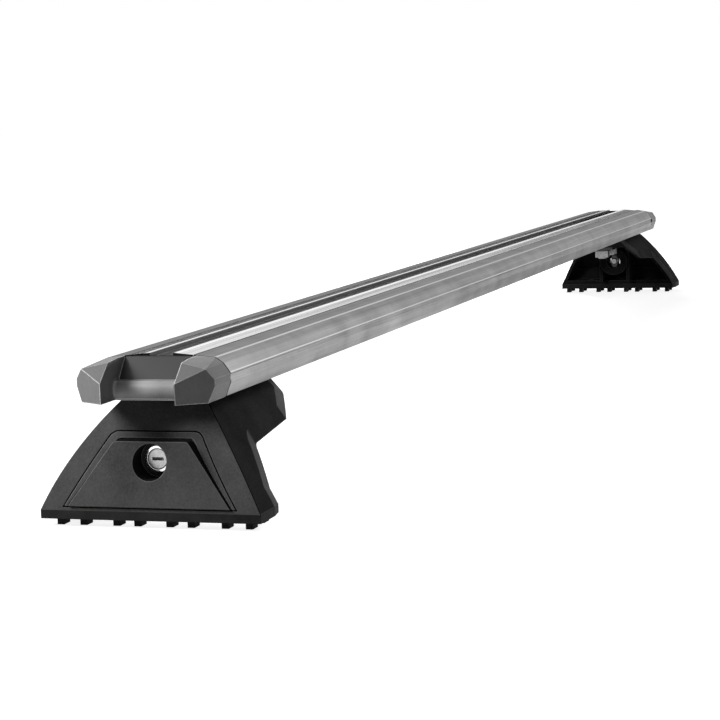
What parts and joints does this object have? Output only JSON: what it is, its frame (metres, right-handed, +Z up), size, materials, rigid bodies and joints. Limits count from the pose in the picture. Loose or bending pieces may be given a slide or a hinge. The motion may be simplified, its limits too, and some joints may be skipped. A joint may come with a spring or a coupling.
{
  "type": "roof rack crossbar",
  "caption": "Aluminium roof rack crossbar with a T-slot along its top, grey end caps and black locking legs on ribbed rubber feet that slide along the bar.",
  "frame": {"origin": "middle of the footprint, on the surface that the feet stand on", "axes": "+X along the bar towards its right end, +Y across the bar, +Z up"},
  "size_m": [1.252, 0.12, 0.086],
  "materials": {
    "anodised_aluminium": "satin anodised, drawn along the bar",
    "cap_plastic": "fine moulded texture",
    "leg_plastic": "satin moulded texture",
    "cover_plastic": "satin moulded texture",
    "pad_rubber": "matt moulded rubber",
    "lock_chrome": "polished",
    "lock_steel": "turned",
    "zinc_steel": "bright zinc plate"
  },
  "bodies": {
    "bar": {"crossbar": "anodised_aluminium", "right_end_cap": "cap_plastic", "left_end_cap": "cap_plastic"},
    "right_leg": {"right_leg_body": "leg_plastic", "right_base_pad": "pad_rubber", "right_lock_cover": "cover_plastic", "right_lock_barrel": "lock_chrome", "right_clamp_bolts": "zinc_steel", "right_clamp_plate": "zinc_steel", "right_clamp_washers": "zinc_steel", "right_clamp_nuts": "zinc_steel"},
    "right_lock": {"right_lock_plug": "lock_steel", "right_lock_tongue": "zinc_steel", "right_tongue_screw": "zinc_steel"},
    "left_leg": {"left_leg_body": "leg_plastic", "left_base_pad": "pad_rubber", "left_lock_cover": "cover_plastic", "left_lock_barrel": "lock_chrome", "left_clamp_bolts": "zinc_steel", "left_clamp_plate": "zinc_steel", "left_clamp_washers": "zinc_steel", "left_clamp_nuts": "zinc_steel"},
    "left_lock": {"left_lock_plug": "lock_steel", "left_lock_tongue": "zinc_steel", "left_tongue_screw": "zinc_steel"}
  },
  "joints": [
    {"name": "right_leg_slide", "type": "slide", "parent": "bar", "child": "right_leg", "axis": [-1, 0, 0], "range_m": [0, 0.15]},
    {"name": "right_lock_turn", "type": "hinge", "parent": "right_leg", "child": "right_lock", "pos_m": [0.6047, 0, 0.0332], "axis": [1, 0, 0], "range_deg": [0, 90]},
    {"name": "left_leg_slide", "type": "slide", "parent": "bar", "child": "left_leg", "axis": [1, 0, 0], "range_m": [0, 0.15]},
    {"name": "left_lock_turn", "type": "hinge", "parent": "left_leg", "child": "left_lock", "pos_m": [-0.6047, 0, 0.0332], "axis": [-1, 0, 0], "range_deg": [0, 90]}
  ]
}
